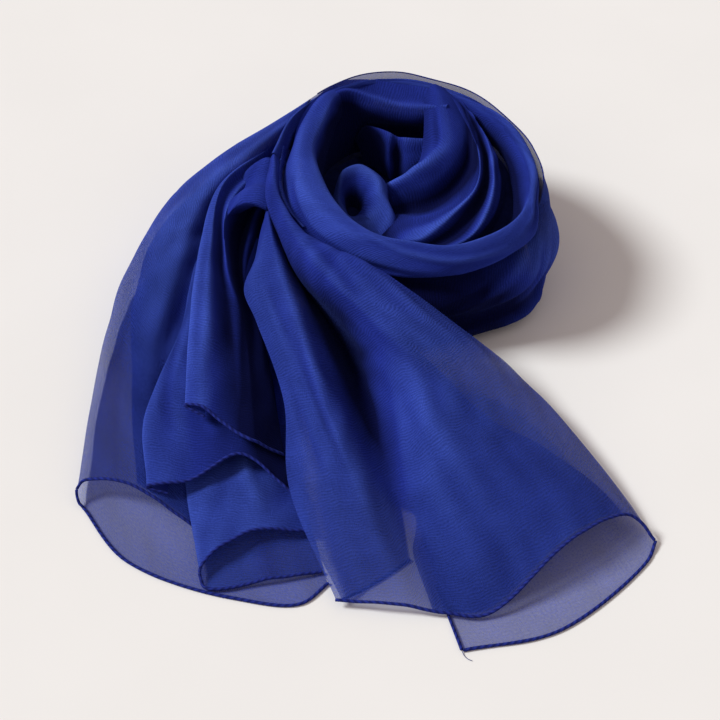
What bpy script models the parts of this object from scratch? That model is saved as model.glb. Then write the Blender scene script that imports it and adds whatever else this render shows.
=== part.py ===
"""A chiffon scarf wound into a rosette, its two ends fanned out on a flat surface.

The scarf is one panel of thin cloth, gathered lengthwise, doubled and wound
counter-clockwise.  Each stretch that shows is a wall of its own, laid through a
short table of sections (the turns of the rosette) or of folds (the two ends).
Tables are in millimetres; the scene is in metres, +Z up.
"""

import math

import bpy
import numpy as np

NAME = "chiffon_scarf"
MM = 0.001

# Driving sizes, in millimetres
WALL = 1.3            # cloth wall, a few gathered layers of chiffon
SEAM = 0.3            # clear gap between two neighbouring pieces
HEM_WIDTH = 2.4       # rolled hem
HEM_GAP = 0.45        # from a wall's end to its hem
HEM_SIDES = 2         # bevel resolution of the hem's round section
FLOOR = WALL / 2      # middle of a wall that lies on the surface
SECOND = FLOOR + WALL + SEAM  # middle of a wall that lies on that one
COIL = (39.0, 131.0)  # middle of the rosette
EYE = (-1.0, 130.0)   # middle of the scroll inside the rosette
MIDDLE = (-0.2, -10.2)  # middle of the whole outline, put at the origin

# The hidden layers under the rosette, in millimetres
CORE_SPOKES = 40
CORE_RINGS = (1.0, 0.93, 0.84, 0.74, 0.63, 0.52, 0.41, 0.3, 0.19, 0.08)
CORE_REACH = 12.0     # cloth this near keeps the core below it
CORE_GAP = 0.85       # the core's top to the middle of that cloth's wall
CORE_EDGE = 3.0       # height of the core's rim
PIT_FLOOR = 18.0      # bottom of the open hollow beside the scroll
# (angle, radius) about the rosette's middle
CORE_OUTLINE = ((0, 94), (30, 88), (60, 89), (90, 93), (120, 96), (150, 93),
                (180, 91), (210, 91), (240, 94), (263, 103), (300, 108), (330, 107))

# Cloth colours, linear
COBALT = (0.022, 0.036, 0.225, 1.0)
HEM_BLUE = (0.010, 0.018, 0.130, 1.0)
DEEP_BLUE = (0.006, 0.010, 0.070, 1.0)

# ---------------------------------------------------------------- the rosette
# Each row is an upright section: its angle about the rosette's middle, then a
# (radius, height) pair for each named place across the cloth.

# columns: angle, foot, low, crease, middle, high, edge
OUTER_TURN = (
    (-97, (115, 1), (119, 13), (115, 25), (117, 38), (111, 51), (93, 57.5)),
    (-80, (117, 1), (122, 13), (117, 27), (119, 40), (113, 52), (94, 59)),
    (-60, (119, 1), (126, 12), (121, 25), (124, 40), (117, 55), (97, 63)),
    (-42, (124, 1), (134, 14), (130, 27), (135, 45), (128, 64), (103, 70)),
    (-28, (117, 1), (128, 17), (125, 31), (131, 52), (126, 72), (110, 77)),
    (-12, (109, 1), (117, 18), (113, 33), (119, 56), (117, 78), (111, 92)),
    (8, (102, 1), (109, 17), (105, 33), (111, 54), (109, 80), (103, 97)),
    (30, (98, 1), (106, 18), (103, 32), (108, 52), (106, 80), (99, 98)),
    (55, (99, 1), (107, 16), (103, 31), (110, 50), (107, 80), (100, 100)),
    (78, (101, 1), (109, 18), (106, 34), (112, 54), (110, 82), (103, 101)),
    (92, (103, 1), (112, 17), (108, 33), (116, 53), (115, 82), (109, 102)),
    (108, (105, 1), (115, 18), (112, 32), (119, 51), (118, 81), (112, 102)),
    (124, (106, 1), (117, 18), (114, 31), (121, 50), (119, 78), (114, 98)),
    (140, (107, 1), (117, 17), (115, 29), (122, 46), (120, 72), (115, 95)),
)

# columns: angle, outer_foot, outer, crest, inner, low, inner_foot
RIM_TURN = (
    (-199.4, (97, 62), (100, 84), (92, 93), (82, 92), (79, 70), (72, 48)),
    (-180, (97, 58), (101, 80), (89, 94), (72, 91), (70, 68), (68, 47)),
    (-163, (98, 55), (102, 77), (88, 94), (69, 91), (68, 66), (67, 46)),
    (-145, (97, 56), (101, 75), (87, 92), (71, 91), (68, 68), (66, 46)),
    (-124, (95, 60), (98, 75), (88, 90), (77, 91), (75, 72), (70, 52)),
    (-106, (96, 61), (100, 74), (92, 88), (81, 91), (80, 74), (76, 58)),
    (-88, (97, 63), (104, 72), (98, 86), (87, 91), (86, 76), (83, 62)),
    (-70, (99, 65), (107, 73), (105, 85), (97, 91), (95, 80), (91, 66)),
    (-50, (104, 74), (111, 78), (110, 88), (102, 93), (100, 80), (96, 67)),
    (-34, (109, 76), (118, 81), (114, 91), (106, 94), (103, 82), (99, 69)),
    (-20, (102, 76), (107, 89), (105, 95), (100, 94), (94, 83), (89, 72)),
    (-4, (98, 74), (104, 89), (101, 97), (95, 93), (89, 83), (85, 74)),
    (15, (91, 76), (98, 92), (95, 99), (90, 94), (86.5, 83), (84.5, 75)),
    (38, (89, 78), (95, 94), (93, 100), (89, 96), (86.5, 82), (86, 73)),
    (62, (91, 78), (97, 94), (95, 101), (91, 97), (88.5, 84), (88, 75)),
    (85, (98, 78), (103, 93), (101, 101), (97, 98), (95.5, 87), (95, 79)),
    (106, (104, 78), (108, 92), (106, 100), (103, 98), (102, 88), (101.5, 79)),
    (126, (108, 74), (112, 89), (110, 97), (107.5, 94), (106, 84), (105.5, 76)),
    (148, (110, 66), (114, 86), (111, 95), (107, 87), (106, 77), (106, 68)),
    (172, (112, 62), (115, 82), (111, 91), (106, 83), (105.5, 76), (105.5, 68)),
)

# columns: angle, outer, crest, inner, low, foot
MIDDLE_TURN = (
    (68, (84, 68), (82, 74), (79, 72), (79, 58), (76, 40)),
    (80, (88, 77), (83, 86), (79, 82), (79, 66), (76, 40)),
    (95, (90, 79), (84, 88), (80, 84), (81, 66), (78, 38)),
    (110, (97, 83), (94, 91), (89, 86), (88, 66), (86, 34)),
    (124, (101.5, 85), (99, 93), (93, 89), (90, 68), (88, 34)),
    (142, (102, 84), (97, 93), (87, 92), (84, 70), (82, 36)),
    (160, (100, 84), (92, 93), (82, 92), (79, 70), (72, 48)),
)

# columns: angle, inner_foot, inner, crest, outer, outer_foot, about the scroll
EYE_SCROLL = (
    (-40, (13, 38), (17, 50), (27, 58), (31, 54), (33, 40)),
    (-15, (9, 38), (12, 53), (20, 65), (26, 58), (28, 40)),
    (15, (6, 38), (9, 56), (17, 69), (23, 61), (25, 40)),
    (50, (6, 38), (9, 60), (17, 72), (24, 63), (26, 40)),
    (90, (7, 38), (11, 62), (20, 72), (27, 63), (29, 40)),
    (135, (6, 38), (9, 60), (17, 69), (23, 61), (25, 40)),
    (180, (5, 38), (7, 56), (15, 64), (21, 57), (23, 40)),
    (225, (6, 38), (9, 50), (15, 57), (20, 52), (22, 40)),
    (262, (8, 38), (11, 47), (16, 53), (21, 49), (23, 40)),
)

# ---------------------------------------------------------- folds, by stations
# Each row is one fold, from the tucked side of the cloth to the other: its name,
# then a point (x, y, height) at each station along the cloth.

# stations: by_scroll, front_left, front, front_right, right, back_right, back
INNER_TURN = (
    ("back_fold", (27, 168, 32), (35, 171, 34), (45, 172, 40), (51, 177, 52),
     (54, 191, 68), (55, 204, 82), (56, 212, 90)),
    ("first_crest", (22.5, 144, 59), (34, 145.5, 66), (48, 147, 72), (62, 152, 78),
     (73, 166, 85), (70, 194, 91), (63, 212, 95)),
    ("bowl_side", (27, 138, 50), (38, 140, 57), (53, 140, 62), (69, 144, 68),
     (83, 159, 77), (80, 189, 90), (70, 210, 96)),
    ("bowl", (30, 127, 44), (41, 129, 44), (56, 131, 46), (73, 138, 52),
     (91, 151, 64), (90, 176, 86), (77, 206, 95)),
    ("bowl_front", (33, 111, 50), (43, 106, 53), (58, 107, 56), (76, 119, 60),
     (93, 132, 69), (95, 158, 84), (83, 202, 94)),
    ("second_crest", (37, 82, 67), (49, 75, 71), (66, 82, 76), (83, 96, 81),
     (98, 125, 86), (97, 163, 89), (88, 198, 93)),
    ("crease", (45, 70, 61), (60, 68, 63), (82, 82, 66), (95, 107, 70),
     (104, 132, 75), (102, 166, 82), (92, 194, 90.5)),
    ("third_crest", (53, 57, 66), (73, 57, 70), (90, 67, 74), (101, 87, 80),
     (109, 116, 85), (107, 160, 87), (96, 190, 91.5)),
    ("valley", (61, 51, 60), (86, 62, 61), (104, 83, 62), (114, 101, 66),
     (119, 125, 70), (115, 158, 76), (100, 186, 85)),
)

# stations: left_end, hole_side, fold, trough, thin_fold, right_end
FAR_FOLD = (
    ("behind", (2, 206, 44), (16, 208, 60), (25, 206, 60), (32, 204, 57), (38, 202, 58),
     (47, 198, 58)),
    ("crest", (1, 202, 52), (14, 203, 70), (23, 198, 71), (30, 196, 67), (36, 192, 69),
     (46, 190, 68)),
    ("face", (3, 197, 42), (17, 198, 57), (23, 190, 57), (30, 192, 50), (36, 185, 54),
     (43, 183, 54)),
    ("foot", (6, 192, 30), (18, 190, 36), (23, 179, 34), (29, 181, 31), (35, 177, 34),
     (40, 177, 37)),
)

# stations: throat, shoulder, middle, lower, end
LEFT_OUTER_FOLD = (
    ("floor_inner", (-50, 170, 0), (-68, 92, 0), (-59, -14, 0), (-45, -123, 0),
     (-23, -212, 0)),
    ("floor_right", (-52, 174, 0), (-80, 105, 0), (-78, -3, 0), (-69, -117, 0),
     (-42, -229, 0)),
    ("floor_middle", (-54, 178, 0), (-94, 119, 0), (-103, 9, 0), (-103, -101, 0),
     (-89, -224, 0)),
    ("floor_outer", (-52, 188, 0), (-122, 140, 0), (-147, 40, 0), (-161, -74, 0),
     (-165, -194, 0)),
    ("foot", (-43.8, 198.8, 1), (-138, 159, 0), (-184, 84, 0), (-202, -22, 0),
     (-203, -146, 1)),
    ("low_swell", (-51.5, 205.1, 17), (-147, 163, 14), (-189, 85, 8),
     (-205, -22, 5), (-206, -143, 3)),
    ("low_crease", (-50, 203.8, 29), (-143, 159, 25), (-185, 81, 15),
     (-202, -22, 9), (-207, -140, 5)),
    ("swell", (-55.4, 208.3, 46), (-147, 159, 41), (-188, 81, 25),
     (-205, -22, 14), (-208.5, -137, 8)),
    ("high_swell", (-53.9, 207, 72), (-144, 155, 56), (-186, 79, 35),
     (-204, -22, 21), (-208.5, -134, 11)),
    ("outer_crest", (-50, 203.8, 95), (-138, 148, 66), (-181, 75, 43),
     (-199, -26, 28), (-202, -131, 15)),
    ("bright_crest", (-59.5, 190.5, 95), (-131, 135, 67), (-169, 70, 52),
     (-185, -41, 34), (-178, -135, 20)),
    ("sheer_end", (-72, 180, 66), (-127, 136, 34), (-140, 49, 10), (-136, -55, 6),
     (-130, -157, 4)),
)

LEFT_UNDER_FOLD = (
    ("low_end", (-64, 156, 5), (-75, 86, 2.5), (-75, -8, 2.3), (-58, -117, 2.3),
     (-27, -203, 2.3)),
    ("low_wave", (-70, 158, 6), (-88, 90, 4), (-96, -6, 4), (-88, -117, 5),
     (-62, -210, 5)),
    ("edge_low", (-78, 160, 7), (-102, 96, 5), (-122, 1, 4), (-128, -117, 4),
     (-111, -214, 3)),
    ("edge_high", (-79, 157, 12), (-103, 93, 10), (-124, -1, 9), (-130, -118, 9),
     (-113, -206, 8)),
    ("top_crest", (-75, 154, 15), (-93, 92, 13), (-103, -7, 14), (-102, -106, 15),
     (-87, -181, 15)),
    ("top_end", (-66, 152, 13), (-72, 90, 9), (-63, -4, 7), (-52, -101, 7),
     (-37, -171, 8)),
)

LEFT_MIDDLE_FOLD = (
    ("tucked", (-101, 138, 18), (-115, 112, 18), (-133, 5, 20), (-147, -84, 15),
     (-140, -143, 14)),
    ("edge", (-108, 143, 25), (-125, 113, 36), (-141, 3, 33), (-162, -84, 26),
     (-155, -141, 21)),
    ("crest", (-102, 139, 29), (-117, 107, 37), (-134, 19, 39), (-137, -68, 31),
     (-124, -136, 22)),
    ("slope", (-97, 134, 25), (-108, 104, 24), (-115, 21, 34), (-105, -58, 30),
     (-91, -117, 28)),
    ("right_end", (-88, 126, 19), (-88, 96, 18), (-80, 21, 15), (-66, -59, 13),
     (-50, -140, 12)),
)

LEFT_TOP_FOLD = (
    ("tucked", (-71.3, 175.6, 60), (-113, 122, 55), (-121, 65, 45), (-119, -3, 43),
     (-115, -90, 38)),
    ("edge", (-73.2, 176.3, 69), (-119, 126, 67), (-128, 71, 58), (-131, -3, 51),
     (-130, -83, 44)),
    ("crest", (-71.3, 175.6, 77), (-114, 126, 73), (-120, 69, 62), (-119, -6, 55),
     (-118, -86, 46)),
    ("trough", (-69.8, 175, 72), (-111, 115, 65), (-112, 64, 51), (-101, -2, 41),
     (-92, -103, 37)),
    ("band", (-69.3, 174.8, 68), (-108, 106, 66), (-107, 57, 53), (-92, 1, 41),
     (-82, -108, 35)),
    ("pocket", (-68.7, 174.5, 60), (-98, 109, 36), (-99, 61, 36), (-86, 3, 33),
     (-73, -108, 29)),
    ("loop", (-67.6, 174.1, 53), (-91, 106, 46), (-94, 56, 40), (-79, -1, 31),
     (-66, -108, 22)),
    ("right_end", (-65.8, 173.3, 44), (-86, 101, 36), (-86, 47, 26), (-69, -30, 19),
     (-57, -108, 15)),
)

# stations: turn, throat, shoulder, upper, middle, lower, end_side, end
RIGHT_UPPER_LAYER = (
    ("finger_edge", (-72.6, 145.4, 44), (-85, 88, 56), (-92, 58, 52), (-93, 42, 48),
     (-82, 6, 38), (-59, -66, 28), (-51, -145, 19), (-17, -229, 6)),
    ("finger_face", (-73.1, 145.5, 53), (-80, 94, 66), (-82, 63, 62), (-80, 39, 58),
     (-65, -7, 48), (-43, -68, 37), (-18, -149, 26), (10, -232, 8)),
    ("finger_crest", (-73.3, 145.5, 60), (-77, 97, 71), (-70, 65, 66), (-61, 35, 61),
     (-46, -11, 51), (-27, -70, 38), (-3, -147, 27), (30, -234, 8)),
    ("dark_valley", (-73, 145.5, 68), (-73, 100, 74), (-62, 71, 58), (-44, 47, 34),
     (-16, 9, 13), (6, -64, 10), (29, -148, 9), (59, -238, 4)),
    ("lit_edge", (-75, 145.8, 82), (-75, 96, 85), (-64, 64, 77), (-49, 33, 66),
     (-14, -2, 54), (23, -54, 41), (60, -141, 27), (95, -236, 6)),
    ("ridge", (-71.1, 145.3, 91), (-67, 103, 89), (-56, 69, 86), (-37, 33, 82),
     (-4, -2, 70), (54, -55, 50), (105, -126, 37), (144, -195, 26)),
    ("fold_top", (-66.1, 144.6, 83), (-61, 94, 81), (-45, 65, 80), (-12, 34, 85),
     (27, 3, 74), (98, -50, 46), (157, -122, 32), (185, -164, 18)),
    ("fold_edge", (-65.6, 144.6, 70), (-60, 95, 65), (-42, 66, 62), (3, 30, 80),
     (48, 6, 61), (123, -37, 27), (184, -116, 16), (209, -171, 9)),
)

# stations: upper, middle, lower, end_side, end
RIGHT_LOWER_LAYER = (
    ("fold_under", (3, 29, 76), (47, 5, 57), (121, -38, 22), (182, -117, 10),
     (207, -173, 3)),
    ("bend", (-2, 24, 52), (48, 1, 30), (113, -46, 2), (177, -133, 0),
     (202, -191, 0)),
    ("floor_middle", (-20, 38, 20), (28, 2, 1), (73, -66, 0), (120, -163, 0),
     (138, -250, 0)),
    ("free_edge", (-33, 55, 4), (4, 4, 0), (31, -75, 0), (46, -181, 0),
     (70, -266, 0)),
)

# stations: throat, shoulder, upper, middle, lower, end_side, end
RIGHT_FINGER_TUCK = (
    ("under_edge", (-84, 87, 52), (-91, 57, 48), (-91, 41, 44), (-80, 6, 34),
     (-57, -66, 24), (-49, -145, 15), (-13, -228, 4)),
    ("tucked_bend", (-74, 88, 36), (-72, 60, 28), (-66, 40, 20), (-54, 4, 6),
     (-38, -76, 1), (-11, -142, 0), (18, -206, 0)),
    ("inner_end", (-62, 90, 18), (-57, 66, 12), (-50, 44, 8), (-32, 20, 2),
     (-4, -60, 0), (26, -130, 0), (35, -192, 0)),
)

CORE_FINENESS = (8, 6)
LIES_AT = {"left_under_fold": SECOND}
ROSETTE = ("outer_turn", "rim_turn", "middle_turn", "eye_scroll", "inner_turn", "far_fold")
FREE_EDGE_FROM = 18    # step along the outer turn where its hem comes into view

# How finely each piece is laid: steps between stations, steps between folds
FINENESS = {
    "outer_turn": (2, 2),
    "rim_turn": (2, 2),
    "middle_turn": (3, 2),
    "eye_scroll": (2, 2),
    "inner_turn": (3, 2),
    "far_fold": (2, 3),
    "left_outer_fold": (4, 2),
    "left_under_fold": (4, 3),
    "left_middle_fold": (4, 3),
    "left_top_fold": (5, 2),
    "right_upper_layer": (3, 3),
    "right_lower_layer": (3, 3),
    "right_finger_tuck": (2, 2),
}


def smooth_between(rows, steps):
    """Points through rows (rows x n x 3), with this many steps from row to row."""
    gaps = np.linalg.norm(np.diff(rows, axis=0), axis=2).mean(axis=1)
    knots = np.concatenate(([0.0], np.cumsum(np.maximum(gaps, 1e-6))))
    slopes = np.diff(rows, axis=0) / np.diff(knots)[:, None, None]
    tangents = np.empty_like(rows)
    tangents[0] = slopes[0]
    tangents[-1] = slopes[-1]
    before = np.diff(knots)[:-1, None, None]
    after = np.diff(knots)[1:, None, None]
    tangents[1:-1] = (slopes[:-1] * after + slopes[1:] * before) / (before + after)
    points = []
    for i in range(len(rows) - 1):
        span = knots[i + 1] - knots[i]
        for k in range(steps):
            t = k / steps
            points.append((2 * t**3 - 3 * t**2 + 1) * rows[i]
                          + (t**3 - 2 * t**2 + t) * span * tangents[i]
                          + (3 * t**2 - 2 * t**3) * rows[i + 1]
                          + (t**3 - t**2) * span * tangents[i + 1])
    points.append(rows[-1])
    return np.array(points)


def cloth_points(folds, along, across, lowest=FLOOR):
    """The cloth's grid, folds x stations x 3, none of it under what it lies on."""
    stations = smooth_between(np.swapaxes(folds, 0, 1), along)
    grid = smooth_between(np.swapaxes(stations, 0, 1), across)
    grid[..., 2] = np.maximum(grid[..., 2], lowest)
    return grid


def turn_folds(sections, middle):
    """The folds of a turn from its table of upright sections."""
    folds = []
    for column in range(1, len(sections[0])):
        fold = []
        for row in sections:
            angle = math.radians(row[0])
            radius, height = row[column]
            fold.append((middle[0] + radius * math.cos(angle),
                         middle[1] + radius * math.sin(angle), height))
        folds.append(fold)
    return np.array(folds)


def table_folds(table):
    """The folds of an end from its table, without their names."""
    return np.array([row[1:] for row in table], dtype=float)


def to_metres(points):
    """Table millimetres to scene metres, with the outline's middle at the origin."""
    return (np.asarray(points) - (MIDDLE[0], MIDDLE[1], 0.0)) * MM


def cloth_material(name, colour, roughness):
    material = bpy.data.materials.new(name)
    material.use_nodes = True
    shader = material.node_tree.nodes["Principled BSDF"]
    shader.inputs["Base Color"].default_value = colour
    shader.inputs["Roughness"].default_value = roughness
    shader.inputs["Metallic"].default_value = 0.0
    material.diffuse_color = colour
    return material


def add_object(name, data, material, collection):
    obj = bpy.data.objects.new(name, data)
    data.materials.append(material)
    collection.objects.link(obj)
    return obj


def grid_faces(folds, stations):
    return [(i * stations + j, (i + 1) * stations + j,
             (i + 1) * stations + j + 1, i * stations + j + 1)
            for i in range(folds - 1) for j in range(stations - 1)]


def cloth_wall(name, grid, material, collection):
    """An open surface through the grid, thickened to the cloth's wall."""
    folds, stations = grid.shape[:2]
    mesh = bpy.data.meshes.new(name)
    mesh.from_pydata(to_metres(grid).reshape(-1, 3).tolist(), [],
                     grid_faces(folds, stations))
    obj = add_object(name, mesh, material, collection)
    wall = obj.modifiers.new("wall", 'SOLIDIFY')
    wall.thickness = WALL * MM
    wall.offset = 0.0
    return obj


def unit(vectors):
    return vectors / np.linalg.norm(vectors, axis=1)[:, None]


def rolled_hem(name, edge, inward, lowest, material, collection):
    """A round hem along an edge, a seam's gap beyond the end of the wall."""
    along = unit(np.gradient(edge, axis=0))
    outward = edge - inward
    outward = unit(outward - along * np.sum(outward * along, axis=1)[:, None])
    centre = edge + outward * (HEM_GAP + HEM_WIDTH / 2)
    centre[:, 2] = np.maximum(centre[:, 2], lowest + (HEM_WIDTH - WALL) / 2)
    curve = bpy.data.curves.new(name, 'CURVE')
    curve.dimensions = '3D'
    curve.bevel_depth = HEM_WIDTH / 2 * MM
    curve.bevel_resolution = HEM_SIDES
    curve.use_fill_caps = True
    spline = curve.splines.new('POLY')
    spline.points.add(len(centre) - 1)
    for point, place in zip(spline.points, to_metres(centre)):
        point.co = (*place, 1.0)
    return add_object(name, curve, material, collection)


def core_rings(cloth):
    """Rings of the hidden layers, outside to inside, each as high as the cloth lets it."""
    angles = np.radians(np.arange(CORE_SPOKES) * 360.0 / CORE_SPOKES)
    outline = np.interp(np.degrees(angles), *zip(*CORE_OUTLINE), period=360.0)
    rings = []
    for share in CORE_RINGS:
        x = COIL[0] + outline * share * np.cos(angles)
        y = COIL[1] + outline * share * np.sin(angles)
        apart = np.hypot(x[:, None] - cloth[:, 0], y[:, None] - cloth[:, 1])
        above = np.where(apart < CORE_REACH, cloth[:, 2], np.inf).min(axis=1)
        top = np.where(np.isfinite(above), above - CORE_GAP, PIT_FLOOR)
        eased = (top + np.roll(top, 1) + np.roll(top, -1)) / 3
        top = np.maximum(np.minimum(top, eased), CORE_EDGE)
        rings.append(np.column_stack((x, y, top)))
    base = rings[0] * (1.0, 1.0, 0.0)
    return np.array([base] + rings)


def hidden_core(name, grids, material, collection):
    """One rounded solid under the rosette, flat below, lofted ring by ring."""
    rings = core_rings(np.concatenate([grid.reshape(-1, 3) for grid in grids]))
    count, spokes = rings.shape[:2]
    faces = [(i * spokes + j, i * spokes + (j + 1) % spokes,
              (i + 1) * spokes + (j + 1) % spokes, (i + 1) * spokes + j)
             for i in range(count - 1) for j in range(spokes)]
    faces.append(tuple(reversed(range(spokes))))
    faces.append(tuple(range((count - 1) * spokes, count * spokes)))
    mesh = bpy.data.meshes.new(name)
    mesh.from_pydata(to_metres(rings).reshape(-1, 3).tolist(), [], faces)
    return add_object(name, mesh, material, collection)


def build():
    for obj in list(bpy.data.objects):
        bpy.data.objects.remove(obj, do_unlink=True)
    collection = bpy.data.collections.new(NAME)
    bpy.context.scene.collection.children.link(collection)

    cobalt = cloth_material("cobalt_chiffon", COBALT, 0.75)
    hem_blue = cloth_material("rolled_hem", HEM_BLUE, 0.8)
    deep_blue = cloth_material("packed_chiffon", DEEP_BLUE, 0.8)

    folds = {
        "outer_turn": turn_folds(OUTER_TURN, COIL),
        "rim_turn": turn_folds(RIM_TURN, COIL),
        "middle_turn": turn_folds(MIDDLE_TURN, COIL),
        "eye_scroll": turn_folds(EYE_SCROLL, EYE),
        "inner_turn": table_folds(INNER_TURN),
        "far_fold": table_folds(FAR_FOLD),
        "left_outer_fold": table_folds(LEFT_OUTER_FOLD),
        "left_under_fold": table_folds(LEFT_UNDER_FOLD),
        "left_middle_fold": table_folds(LEFT_MIDDLE_FOLD),
        "left_top_fold": table_folds(LEFT_TOP_FOLD),
        "right_upper_layer": table_folds(RIGHT_UPPER_LAYER),
        "right_lower_layer": table_folds(RIGHT_LOWER_LAYER),
        "right_finger_tuck": table_folds(RIGHT_FINGER_TUCK),
    }
    grids = {name: cloth_points(rows, *FINENESS[name], LIES_AT.get(name, FLOOR))
             for name, rows in folds.items()}
    for name, grid in grids.items():
        cloth_wall(name, grid, cobalt, collection)

    rosette = [cloth_points(folds[name], *CORE_FINENESS) for name in ROSETTE]
    hidden_core("coil_core", rosette, deep_blue, collection)

    for name, grid in grids.items():
        if name.startswith(("left", "right")):
            rolled_hem("hem_" + name, grid[:, -1], grid[:, -2],
                       LIES_AT.get(name, FLOOR), hem_blue, collection)
    free = grids["outer_turn"][:, FREE_EDGE_FROM:]
    rolled_hem("hem_outer_turn", free[-1], free[-2], FLOOR, hem_blue, collection)


build()
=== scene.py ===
"""Dresses the chiffon scarf: sheer crepe cloth, rolled hems, floor, light and camera.

The scarf is one panel of polyester chiffon, gathered lengthwise, wound into a
rosette and laid down with its two ends fanned out.  Every stretch is a single
thin sheet laid through a short table of sections or of folds, and then creased.
The tables began as the solids' own.  OUTER_TURN, LEFT_UNDER_FOLD,
LEFT_MIDDLE_FOLD and RIGHT_FINGER_TUCK still are.  The other nine were drawn
closer to the cloth afterwards and lie off their solids, by under 1 to 6.5 mm on
average and by up to 32 mm at a few edges.  Tables are in millimetres.
"""

import math

import bpy
import numpy as np
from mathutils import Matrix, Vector


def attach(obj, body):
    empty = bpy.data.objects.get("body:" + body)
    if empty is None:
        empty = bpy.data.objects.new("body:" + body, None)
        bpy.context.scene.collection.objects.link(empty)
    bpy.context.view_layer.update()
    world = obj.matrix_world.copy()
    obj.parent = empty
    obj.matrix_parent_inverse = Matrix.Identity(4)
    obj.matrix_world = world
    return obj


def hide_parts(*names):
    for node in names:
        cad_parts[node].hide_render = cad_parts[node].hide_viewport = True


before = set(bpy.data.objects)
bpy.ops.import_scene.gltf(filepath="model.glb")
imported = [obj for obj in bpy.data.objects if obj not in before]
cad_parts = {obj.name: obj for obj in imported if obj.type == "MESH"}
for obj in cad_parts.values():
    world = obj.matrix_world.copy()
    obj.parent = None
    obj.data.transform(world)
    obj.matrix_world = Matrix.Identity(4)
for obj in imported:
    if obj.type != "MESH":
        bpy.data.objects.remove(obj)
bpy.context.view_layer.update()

MM = 0.001

# Driving sizes, in millimetres
CLOTH_LIFT = 0.65       # a laid sheet's height over the floor
LAYER_STEP = 1.6        # the next layer's height over that one
HEM_WIDTH = 2.4         # rolled hem
HEM_OVERLAP = 0.4       # how far a hem laps over its sheet's edge
HEM_STEP = 0.65         # from ring to ring along a hem
HEM_SIDES = 12          # points in a ring
STITCH = 2.6            # from stitch to stitch
STITCH_SLANT = 1.5      # how far a stitch runs on as it goes round, in radians
STITCH_PULL = 0.03      # share of the hem's radius by which a stitch pulls it in
SLACK = 0.05            # share by which the roll is unevenly fat
SLACK_RUN = 9.0         # mm along the hem for a radian of that wave
SLACK_SWAY = 23.0       # and for a radian of the longer one that sways it
GROOVE_AT = 2.1         # where the seam sinks in, in radians round the hem from outside
GROOVE_WIDTH = 0.35     # radians
GROOVE_DEPTH = 0.28     # share of the radius
TOP_HEM_FROM = 5.0      # the stations between which the outer turn's hem lies free
TOP_HEM_TO = 12.5
TOP_HEM_WIDTH = 1.1
FREE_HEM_FROM = 3.4     # the station from which the lower layer's own side hem shows
THREAD = 0.45           # the hem's sewing thread
THREAD_SIDES = 6
THREAD_STEPS = 8
LINE_STEPS = 12         # steps from place to place along a line drawn on the cloth
CREASE_POINTS = 30
CREASE_FADE = 0.6       # how softly a crease begins and ends; less is more sudden
SWELL = 0.45            # height of the cloth's slow swells
# Their waves, in mm of cloth for a radian, each with the longer one that sways it
SWELL_ACROSS, ACROSS_SWAY = 6.1, 23
SWELL_ALONG, ALONG_SWAY = 17, 11
RIPPLE_ACROSS, RIPPLE_ALONG, RIPPLE_SWAY = 3.7, 29, 41
RIPPLE_SHARE = 0.6      # the ripple's height, the swell's being 1
INNER_STEPS = (120, 40) # steps along and across a layer folded inside an end
SMALL_FOLD_STEPS = (24, 14)
SMALL_FOLD_LAYERS = 3.0
EASE_ROUNDS = 40        # rounds of smoothing that tell crest from hollow
UNDER = -60.0           # a height well under the cloth, which its normals point away from
COIL = (39.0, 131.0)    # middle of the rosette
EYE = (-6.0, 132.0)     # middle of the scroll inside the rosette
MIDDLE = (-0.2, -10.2)  # middle of the whole outline, put at the origin

# ---------------------------------------------------------------- the rosette
# Each row is an upright section: its angle about the rosette's middle, then a
# (radius, height) pair for each named place across the cloth.

# columns: angle, foot, low, crease, middle, high, edge
OUTER_TURN = (
    (-97, (115, 1), (119, 13), (115, 25), (117, 38), (111, 51), (93, 57.5)),
    (-80, (117, 1), (122, 13), (117, 27), (119, 40), (113, 52), (94, 59)),
    (-60, (119, 1), (126, 12), (121, 25), (124, 40), (117, 55), (97, 63)),
    (-42, (124, 1), (134, 14), (130, 27), (135, 45), (128, 64), (103, 70)),
    (-28, (117, 1), (128, 17), (125, 31), (131, 52), (126, 72), (110, 77)),
    (-12, (109, 1), (117, 18), (113, 33), (119, 56), (117, 78), (111, 92)),
    (8, (102, 1), (109, 17), (105, 33), (111, 54), (109, 80), (103, 97)),
    (30, (98, 1), (106, 18), (103, 32), (108, 52), (106, 80), (99, 98)),
    (55, (99, 1), (107, 16), (103, 31), (110, 50), (107, 80), (100, 100)),
    (78, (101, 1), (109, 18), (106, 34), (112, 54), (110, 82), (103, 101)),
    (92, (103, 1), (112, 17), (108, 33), (116, 53), (115, 82), (109, 102)),
    (108, (105, 1), (115, 18), (112, 32), (119, 51), (118, 81), (112, 102)),
    (124, (106, 1), (117, 18), (114, 31), (121, 50), (119, 78), (114, 98)),
    (140, (107, 1), (117, 17), (115, 29), (122, 46), (120, 72), (115, 95)),
)

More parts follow.
